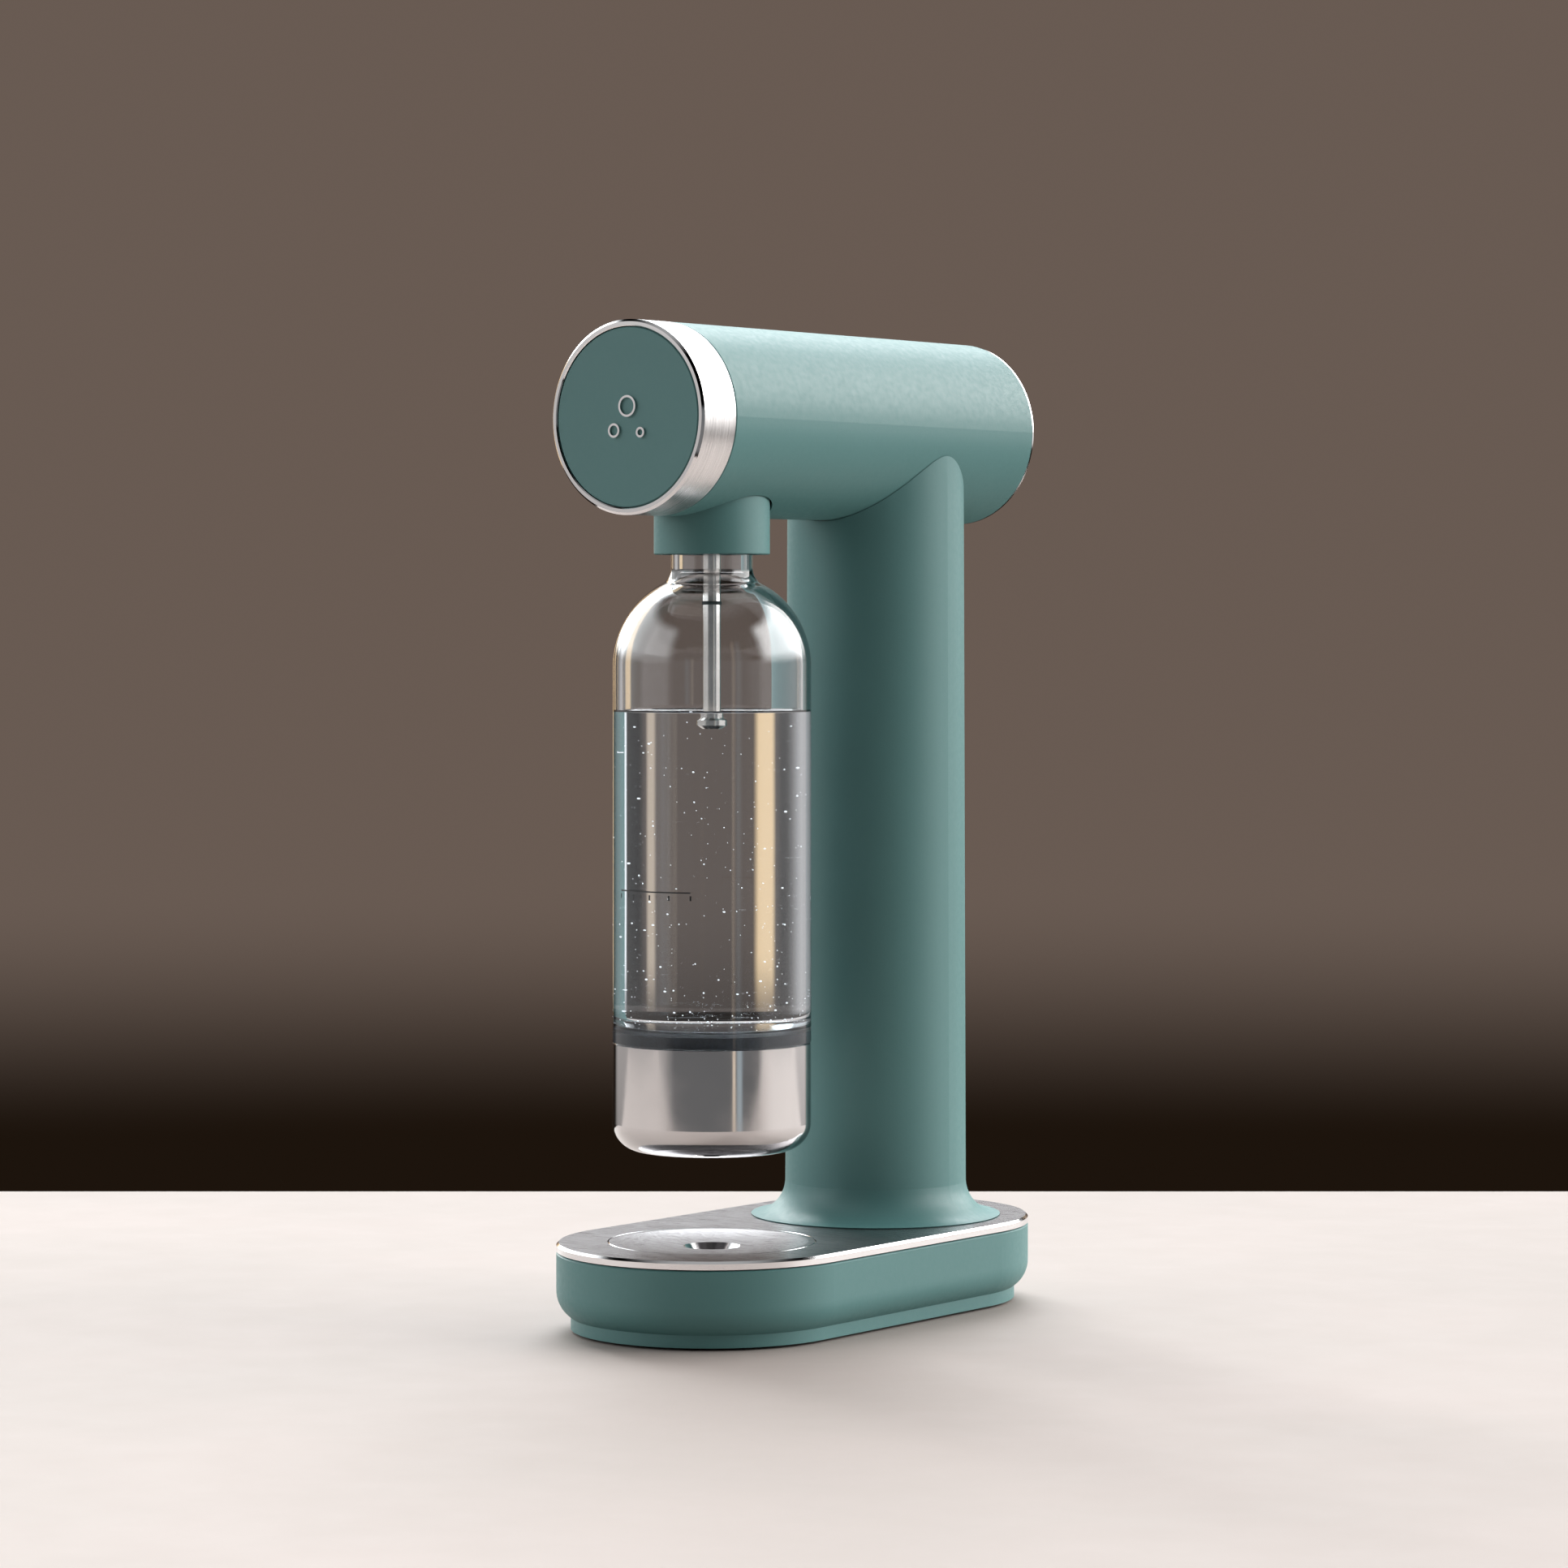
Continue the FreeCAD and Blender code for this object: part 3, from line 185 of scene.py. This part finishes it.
def brushed(name, color, roughness, stretch, bevel, bump):
    """Metal brushed along one axis, and left polished where its normal leans as the bevel's does."""
    finish = Finish(name, color, roughness, 1.0)
    streak = finish.noise(1.0, 6.0, stretch)
    fine = finish.noise(1.0, 2.0, tuple(4.0 * value for value in stretch))
    shade = finish.spread(streak, 0.0, 1.0)
    low = tuple(0.80 * value for value in color)
    high = tuple(min(1.0, 1.16 * value) for value in color)
    tint = finish.mix_colors(shade, low, high)
    rough = finish.spread(fine, roughness - 0.07, roughness + 0.09)
    rough = finish.mix_values(finish.facing(*bevel), rough, 0.06)
    tint = finish.mix_colors(finish.facing(*bevel), tint, (0.86, 0.86, 0.87))
    finish.link(tint, finish.shader.inputs["Base Color"])
    finish.link(rough, finish.shader.inputs["Roughness"])
    finish.bump(fine, bump, 0.00006)
    return finish.material


def plate_finish():
    """Base plate and tray: brushed across the machine, bevel and rim polished."""
    stretch = (14.0, 1400.0, 900.0)
    return brushed("plate_steel", (0.30, 0.29, 0.30), 0.28, stretch, ("Z", -1.0, 0.78), 0.35)


def ring_finish():
    """Knob ring: satin band, with the lip and bevel at the front polished."""
    stretch = (14.0, 2600.0, 14.0)
    return brushed("satin_aluminium", (0.80, 0.79, 0.79), 0.30, stretch, ("Y", 0.25, 1.1), 0.10)


def polished(name, color, roughness):
    """Bright metal with faint haze."""
    finish = Finish(name, color, roughness, 1.0)
    haze = finish.spread(finish.noise(60.0, 4.0), roughness * 0.7, roughness * 1.6)
    finish.link(haze, finish.shader.inputs["Roughness"])
    return finish.material


def glass(name, color, ior):
    finish = Finish(name, color, 0.0)
    finish.set("Transmission Weight", 1.0)
    finish.set("IOR", ior)
    return finish


def bottle_finish():
    """Clear moulded wall with slight waviness."""
    finish = glass("clear_bottle", (0.925, 0.955, 0.985), 1.5)
    finish.set("Specular IOR Level", 0.22)
    finish.bump(finish.noise(1.0, 2.0, (45.0, 45.0, 14.0)), 0.10, 0.0004)
    return finish.material


def water_finish():
    finish = glass("water", (0.985, 0.992, 0.992), 1.33)
    finish.bump(finish.noise(24.0, 1.0), 0.02, 0.0004)
    return finish.material


def glowing_bubble_finish():
    """Gas bubbles: bright skins with a painted highlight; they glow by emission, though they are no lamp.
    """
    finish = Finish("gas_bubble", (0.95, 0.97, 1.0), 0.08)
    finish.link(finish.spread(finish.noise(900.0), 0.04, 0.2), finish.shader.inputs["Roughness"])
    # Painted highlight: this emission makes the bubbles glow in place of the light they would catch.
    finish.set("Emission Color", (0.9, 0.95, 1.0, 1.0))
    finish.set("Emission Strength", 1.1)
    return finish.material


def ink_finish():
    finish = Finish("dark_ink", (0.02, 0.022, 0.024), 0.45)
    finish.link(finish.spread(finish.noise(1800.0, 3.0), 0.35, 0.6), finish.shader.inputs["Roughness"])
    return finish.material


def moulded(name, color, roughness, grain=700.0):
    """Matt moulded plastic or rubber with a fine grain."""
    finish = Finish(name, color, roughness)
    speck = finish.noise(grain, 4.0)
    low = tuple(0.8 * value for value in color)
    high = tuple(1.25 * value for value in color)
    tint = finish.mix_colors(finish.spread(speck, 0.0, 1.0), low, high)
    finish.link(tint, finish.shader.inputs["Base Color"])
    finish.link(finish.spread(speck, roughness - 0.08, roughness + 0.08), finish.shader.inputs["Roughness"])
    finish.bump(speck, 0.2, 0.0002)
    return finish.material


def cast_finish():
    finish = Finish("cast_metal", (0.46, 0.46, 0.47), 0.5, 0.9)
    pits = finish.noise(320.0, 5.0)
    finish.link(finish.spread(pits, 0.38, 0.62), finish.shader.inputs["Roughness"])
    finish.bump(pits, 0.35, 0.0003)
    return finish.material


SLOT_FINISHES = {
    "painted_body": painted_finish(),
    "base_steel": plate_finish(),
    "satin_aluminium": ring_finish(),
    "bright_trim": polished("bright_trim", (0.88, 0.88, 0.89), 0.08),
    "cup_steel": polished("cup_steel", (0.65, 0.64, 0.64), 0.09),
    "nozzle_steel": polished("nozzle_steel", (0.92, 0.88, 0.82), 0.16),
    "black_rubber": moulded("black_rubber", (0.012, 0.012, 0.013), 0.7),
    "dark_plastic": moulded("dark_plastic", (0.035, 0.038, 0.04), 0.5),
    "cast_metal": cast_finish(),
    "cylinder_metal": moulded("cylinder_lacquer", (0.34, 0.36, 0.37), 0.35, 120.0),
    "brass": polished("turned_brass", (0.72, 0.52, 0.22), 0.22),
    "plain_steel": polished("plain_steel", (0.58, 0.58, 0.58), 0.25),
    "gas_tube": moulded("gas_tube", (0.05, 0.05, 0.055), 0.4),
    "clear_bottle": bottle_finish(),
}


def dress_cad_nodes():
    """Gives every carried-over node the finish of its slot."""
    for entry in frame["record"]["subparts"]:
        thing = nodes[entry["node"]]
        thing.data.materials.clear()
        thing.data.materials.append(SLOT_FINISHES[entry["material_slot"]])


# ---------------------------------------------------------------- mesh helpers

LATHE_STEPS = 192


def new_piece(name, mesh, material, body, smooth=True):
    piece = bpy.data.objects.new(name, mesh)
    bpy.context.scene.collection.objects.link(piece)
    mesh.materials.append(material)
    if smooth:
        mesh.polygons.foreach_set("use_smooth", [True] * len(mesh.polygons))
    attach(piece, body)
    return piece


def arc(centre, radius, start, stop, count):
    """Points on a circle in the (radius, height) plane, between two angles in degrees."""
    points = []
    for step in range(count + 1):
        angle = math.radians(start + (stop - start) * step / count)
        points.append((centre[0] + radius * math.cos(angle), centre[1] + radius * math.sin(angle)))
    return points


def with_support(profile):
    """Adds a ring close to each end of every long run, so that smooth shading stays at the corners."""
    near, long_run = 0.12 * MM, 1.2 * MM
    points = []
    for (radius, height), (next_radius, next_height) in zip(profile, profile[1:]):
        points.append((radius, height))
        across, rise = next_radius - radius, next_height - height
        length = math.hypot(across, rise)
        if length > long_run:
            for part in (near / length, 1 - near / length):
                points.append((radius + part * across, height + part * rise))
    points.append(profile[-1])
    return points


def lathe(name, profile):
    """Closed surface of revolution about the bottle's axis, from a pole at zero radius to another."""
    mesh = bpy.data.meshes.new(name)
    shape = bmesh.new()
    rings = []
    for radius, height in with_support(profile):
        if radius < 1e-7:
            rings.append([shape.verts.new((bottle_axis.x, bottle_axis.y, height))])
            continue
        ring = []
        for step in range(LATHE_STEPS):
            angle = 2 * math.pi * step / LATHE_STEPS
            x = bottle_axis.x + radius * math.cos(angle)
            y = bottle_axis.y + radius * math.sin(angle)
            ring.append(shape.verts.new((x, y, height)))
        rings.append(ring)
    for lower, upper in zip(rings, rings[1:]):
        for step in range(LATHE_STEPS):
            following = (step + 1) % LATHE_STEPS
            if len(lower) == 1:
                shape.faces.new((lower[0], upper[following], upper[step]))
            elif len(upper) == 1:
                shape.faces.new((lower[step], lower[following], upper[0]))
            else:
                shape.faces.new((lower[step], lower[following], upper[following], upper[step]))
    bmesh.ops.recalc_face_normals(shape, faces=shape.faces)
    shape.to_mesh(mesh)
    shape.free()
    return mesh


# ---------------------------------------------------------------- bottle and water


def shoulder(radius_shift):
    """Dome and neck round of the bottle, moved inward from its outside by an amount.

    The dome's circle passes through the wall at its foot, and the neck's round touches both.
    """
    big = dome_radius - radius_shift
    centre = (bottle_radius - dome_radius, dome_foot)
    neck = neck_radius - (neck_wall if radius_shift else 0.0)
    small = neck_round
    across = neck + small - centre[0]
    rise = math.sqrt((big + small) ** 2 - across ** 2)
    angle = math.degrees(math.atan2(rise, across))
    dome = arc(centre, big, 0.0, angle, 40)
    turn = arc((neck + small, centre[1] + rise), small, angle + 180.0, 180.0, 14)
    return dome + turn[1:]


def bottle_profile():
    """Half section from the axis out to the foot, up the outside, and down the inside to the axis."""
    inner = bottle_radius - bottle_wall
    skirt_outer = bottle_radius - 1.0 * MM
    lip = 0.6 * MM
    profile = [
        (0.0, punt_height),
        (punt_radius, punt_height),
        (punt_radius, skirt_foot),
        (skirt_outer, skirt_foot),
        (skirt_outer, foot_height),
        (bottle_radius - 0.4 * MM, foot_height),
        (bottle_radius, foot_height + 0.4 * MM),
    ]
    profile += shoulder(0.0)
    profile += [
        (neck_radius, mouth_height - lip),
        (neck_radius - lip, mouth_height),
        (neck_radius - neck_wall + lip, mouth_height),
        (neck_radius - neck_wall, mouth_height - lip),
    ]
    profile += list(reversed(shoulder(bottle_wall)))
    profile += arc((inner - floor_round, floor_height + floor_round), floor_round, 0.0, -90.0, 8)
    profile.append((0.0, floor_height))
    return profile


def make_bottle():
    mesh = lathe("bottle_wall", bottle_profile())
    lug_size = Vector((3.4, 8.0, 3.0)) * MM
    lug_place = Vector((neck_radius + 0.8 * MM, 0, 334.5 * MM))
    shape = bmesh.new()
    shape.from_mesh(mesh)
    for angle in (30, 150, 270):
        turn = Matrix.Translation(bottle_axis) @ Matrix.Rotation(math.radians(angle), 4, "Z")
        stretch = Matrix.Diagonal((*lug_size, 1.0))
        bmesh.ops.create_cube(shape, size=1.0, matrix=turn @ Matrix.Translation(lug_place) @ stretch)
    shape.to_mesh(mesh)
    shape.free()
    piece = new_piece("clear_bottle_body", mesh, SLOT_FINISHES["clear_bottle"], "bottle")
    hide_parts("bottle_body", "bottle_floor", "bottle_shoulder", "bottle_neck")


def make_painted_shade_plug():
    """Painted shade: a dark plug put in the hollow under the bottle's floor, where there is only shade,
    seen through the clear band above the cup.
    """
    overlap = 0.03 * MM
    low = foot_height - 2.0 * MM
    top = punt_height + overlap
    radius = punt_radius + overlap
    profile = [(0.0, low), (radius, low), (radius, top), (0.0, top)]
    mesh = lathe("foot_shade_plug", profile)
    # Its dark blue-grey colour is painted shade for the darkened band above the cup, not the colour of a
    # real part.
    plastic = moulded("painted_shade_plug", (0.030, 0.040, 0.052), 0.45)
    new_piece("foot_shade_plug", mesh, plastic, "bottle")


def make_water():
    """Water that fills the bottle to its level, a hair into the wall so that no air gap shows."""
    overlap = 0.05 * MM
    wall = bottle_radius - bottle_wall + overlap
    floor = floor_height - overlap
    creep = 1.1 * MM
    profile = [(0.0, floor)]
    profile += arc((wall - floor_round, floor + floor_round), floor_round, -90.0, 0.0, 8)
    profile += [
        (wall, water_height + 0.8 * creep),
        (wall - 0.25 * creep, water_height + 0.3 * creep),
        (wall - creep, water_height + 0.05 * creep),
        (wall - 2 * creep, water_height),
        (0.0, water_height),
    ]
    mesh = lathe("water_fill", profile)
    new_piece("water_fill", mesh, water_finish(), "bottle")


def make_bubbles():
    """Small gas bubbles, most of them low in the water and near the wall."""
    count, seed = 300, 7
    empty_middle = 0.30
    floor_gap, both_gaps, crowding = 1.5 * MM, 6 * MM, 1.7
    smallest, spread, rarity = 0.15, 0.30, 3
    chance = random.Random(seed)
    shape = bmesh.new()
    limit = bottle_radius - bottle_wall - 1.0 * MM
    rise = water_height - floor_height - both_gaps
    for _ in range(count):
        radius = limit * math.sqrt(chance.uniform(empty_middle, 1.0))
        angle = chance.uniform(0, 2 * math.pi)
        height = floor_height + floor_gap + rise * chance.random() ** crowding
        size = (smallest + spread * chance.random() ** rarity) * MM
        spot = bottle_axis + Vector((radius * math.cos(angle), radius * math.sin(angle), height))
        bmesh.ops.create_icosphere(shape, subdivisions=1, radius=size, matrix=Matrix.Translation(spot))
    mesh = bpy.data.meshes.new("water_bubbles")
    shape.to_mesh(mesh)
    shape.free()
    new_piece("water_bubbles", mesh, glowing_bubble_finish(), "bottle")


def curved_patch(shape, low_angle, high_angle, low, high, radius, thickness, steps):
    """A thin raised patch that follows the bottle's wall, between two angles from the front."""
    grid = []
    for depth in (0.0, thickness):
        for height in (low, high):
            row = []
            for step in range(steps + 1):
                angle = math.radians(low_angle + (high_angle - low_angle) * step / steps - 90.0)
                reach = radius + depth
                row.append(shape.verts.new((bottle_axis.x + reach * math.cos(angle),
                                            bottle_axis.y + reach * math.sin(angle), height)))
            grid.append(row)
    inner_low, inner_high, outer_low, outer_high = grid
    for step in range(steps):
        following = step + 1
        for first, second in ((outer_low, outer_high), (outer_high, inner_high),
                              (inner_high, inner_low), (inner_low, outer_low)):
            shape.faces.new((first[step], first[following], second[following], second[step]))
    for end in (0, steps):
        shape.faces.new((inner_low[end], inner_high[end], outer_high[end], outer_low[end]))


def make_level_mark():
    """Printed fill scale on the front of the bottle: one long line over short ticks."""
    shape = bmesh.new()
    top = 187.0 * MM
    line_height, tick_gap, tick_height = 0.55 * MM, 1.6 * MM, 2.0 * MM
    half_tick = 0.5
    sunk, thickness = 0.06 * MM, 0.11 * MM
    radius = bottle_radius - sunk
    curved_patch(shape, -26.0, 26.0, top - line_height, top, radius, thickness, 24)
    tick_top = top - tick_gap
    for angle in (-26.0, -13.0, 0.0, 13.0, 26.0):
        curved_patch(shape, angle - half_tick, angle + half_tick, tick_top - tick_height, tick_top,
                     radius, thickness, 2)
    bmesh.ops.recalc_face_normals(shape, faces=shape.faces)
    mesh = bpy.data.meshes.new("level_mark")
    shape.to_mesh(mesh)
    shape.free()
    new_piece("level_mark", mesh, ink_finish(), "bottle", smooth=False)


# ---------------------------------------------------------------- stage, lights and camera

CAMERA_AZIMUTH = 37.29
CAMERA_PLACE = Vector((1.2389, -1.6366, 0.29995))
CAMERA_LENS = 109.02
CAMERA_SHIFT = -0.105

# Soft patches of light round the room. Angles are in degrees: the azimuth is nought toward the camera
# and grows to the right as the camera sees it, the elevation is nought at the horizon.
# ROOM lights the machine. BACKGROUND is the wall behind it, with the bright strips that it mirrors.
# Each line: azimuth from, to, softness, elevation from, to, softness, color, strength.
ROOM = [
    # level bands, which the cup and the bottle mirror
    (-146, -50, 8, -7, 8, 3, (1.00, 0.95, 0.93), 0.52),
    (60, 142, 5, -7, 8, 3, (1.00, 0.95, 0.93), 0.85),
    (-50, 60, 6, -30, 8, 3, (0.95, 0.97, 1.00), 0.17),
    # high bands, which light the paint
    (-150, -52, 8, 8, 42, 6, (0.97, 0.99, 1.00), 2.4),
    (66, 146, 8, 8, 42, 6, (1.00, 0.99, 0.98), 6.4),
    (202, 210, 4, 8, 42, 6, (0.95, 1.00, 1.00), 13.0),
    (150, 210, 12, 26, 68, 8, (0.96, 1.00, 1.02), 7.4),
    (-400, 400, 8, 66, 120, 12, (1.00, 1.00, 1.00), 0.4),
]
BACKGROUND = [
    (158, 202, 3, -4.7, 25, 1.5, (0.140, 0.104, 0.085), 1.0),
    (193.5, 200.5, 1.2, -4.5, 25, 0.5, (1.00, 0.70, 0.38), 0.9),
    (160, 163.5, 1.0, -4.5, 25, 0.5, (1.00, 0.80, 0.60), 0.5),
    (143, 146, 0.8, -4.5, 25, 0.5, (1.00, 1.00, 1.00), 1.2),
    (25, 28, 0.8, -9, 30, 3, (1.00, 0.80, 0.60), 0.9),
    (30, 36, 1.5, -9, 30, 3, (0.70, 0.90, 1.00), 0.4),
    (-400, 400, 3, -90, -4.7, 1.5, (0.012, 0.007, 0.004), 1.0),
]


def make_floor():
    """Pale table top, whose far edge runs straight across behind the machine."""
    width, front, back, thickness = 2.6, 0.66, 0.437, 0.03
    mesh = bpy.data.meshes.new("table")
    shape = bmesh.new()
    turn = Matrix.Rotation(math.radians(CAMERA_AZIMUTH), 4, "Z")
    offset = Matrix.Translation((0, (back - front) / 2, -thickness / 2))
    stretch = Matrix.Diagonal((width, front + back, thickness, 1.0))
    bmesh.ops.create_cube(shape, size=1.0, matrix=turn @ offset @ stretch)
    shape.to_mesh(mesh)
    shape.free()
    table = bpy.data.objects.new("table", mesh)
    bpy.context.scene.collection.objects.link(table)
    finish = Finish("pale_table", (0.41, 0.355, 0.33), 0.6)
    cloud = finish.spread(finish.noise(5.0, 5.0), 0.0, 1.0)
    finish.link(finish.mix_colors(cloud, (0.395, 0.345, 0.32), (0.425, 0.365, 0.34)),
                finish.shader.inputs["Base Color"])
    finish.link(finish.spread(finish.noise(30.0, 5.0), 0.56, 0.66), finish.shader.inputs["Roughness"])
    finish.set("Specular IOR Level", 0.25)
    mesh.materials.append(finish.material)


class Room:
    """World shader made of soft patches of light, placed by azimuth and elevation."""

    def __init__(self):
        world = bpy.data.worlds.new("studio")
        bpy.context.scene.world = world
        world.use_nodes = True
        self.tree = world.node_tree
        self.background = self.tree.nodes["Background"]
        place = self.tree.nodes.new("ShaderNodeTexCoord")
        turn = self.tree.nodes.new("ShaderNodeVectorRotate")
        turn.rotation_type = "Z_AXIS"
        turn.inputs["Angle"].default_value = -math.radians(CAMERA_AZIMUTH)
        split = self.tree.nodes.new("ShaderNodeSeparateXYZ")
        self.tree.links.new(place.outputs["Generated"], turn.inputs["Vector"])
        self.tree.links.new(turn.outputs["Vector"], split.inputs["Vector"])
        toward = self.math("MULTIPLY", split.outputs["Y"], -1.0)
        self.azimuth = self.math("DEGREES", self.math("ARCTAN2", split.outputs["X"], toward))
        self.full_turn = self.math("MODULO", self.math("ADD", self.azimuth, 360.0), 360.0)
        self.elevation = self.math("DEGREES", self.math("ARCSINE", split.outputs["Z"]))
        self.total = None

    def math(self, operation, *values):
        node = self.tree.nodes.new("ShaderNodeMath")
        node.operation = operation
        for index, value in enumerate(values):
            if isinstance(value, float):
                node.inputs[index].default_value = value
            else:
                self.tree.links.new(value, node.inputs[index])
        return node.outputs[0]

    def step(self, source, edge, softness, low, high):
        node = self.tree.nodes.new("ShaderNodeMapRange")
        node.interpolation_type = "SMOOTHSTEP"
        node.inputs["From Min"].default_value = edge - softness
        node.inputs["From Max"].default_value = edge + softness
        node.inputs["To Min"].default_value = low
        node.inputs["To Max"].default_value = high
        self.tree.links.new(source, node.inputs["Value"])
        return node.outputs["Result"]

    def add_patch(self, start, stop, side_soft, low, high, rise_soft, color, strength):
        around = self.full_turn if stop > 180 else self.azimuth
        sides = self.math("MULTIPLY", self.step(around, start, side_soft, 0.0, 1.0),
                          self.step(around, stop, side_soft, 1.0, 0.0))
        rise = self.math("MULTIPLY", self.step(self.elevation, low, rise_soft, 0.0, 1.0),
                         self.step(self.elevation, high, rise_soft, 1.0, 0.0))
        amount = self.math("MULTIPLY", self.math("MULTIPLY", sides, rise), float(strength))
        scale = self.tree.nodes.new("ShaderNodeVectorMath")
        scale.operation = "SCALE"
        scale.inputs[0].default_value = color
        self.tree.links.new(amount, scale.inputs["Scale"])
        if self.total is None:
            self.total = scale.outputs[0]
            return
        joined = self.tree.nodes.new("ShaderNodeVectorMath")
        joined.operation = "ADD"
        self.tree.links.new(self.total, joined.inputs[0])
        self.tree.links.new(scale.outputs[0], joined.inputs[1])
        self.total = joined.outputs[0]

    def finish(self):
        self.tree.links.new(self.total, self.background.inputs["Color"])


def make_world():
    room = Room()
    for patch in ROOM + BACKGROUND:
        room.add_patch(*patch)
    room.finish()


def make_camera():
    data = bpy.data.cameras.new("camera")
    data.lens = CAMERA_LENS
    data.sensor_width = 36.0
    data.shift_y = CAMERA_SHIFT
    data.clip_start = 0.05
    camera = bpy.data.objects.new("camera", data)
    camera.location = CAMERA_PLACE
    camera.rotation_euler = (math.radians(90.0), 0.0, math.radians(CAMERA_AZIMUTH))
    bpy.context.scene.collection.objects.link(camera)
    bpy.context.scene.camera = camera


dress_cad_nodes()
make_bottle()
make_painted_shade_plug()
make_water()
make_bubbles()
make_level_mark()
make_floor()
make_world()
make_camera()
bpy.context.scene.view_settings.view_transform = "Standard"
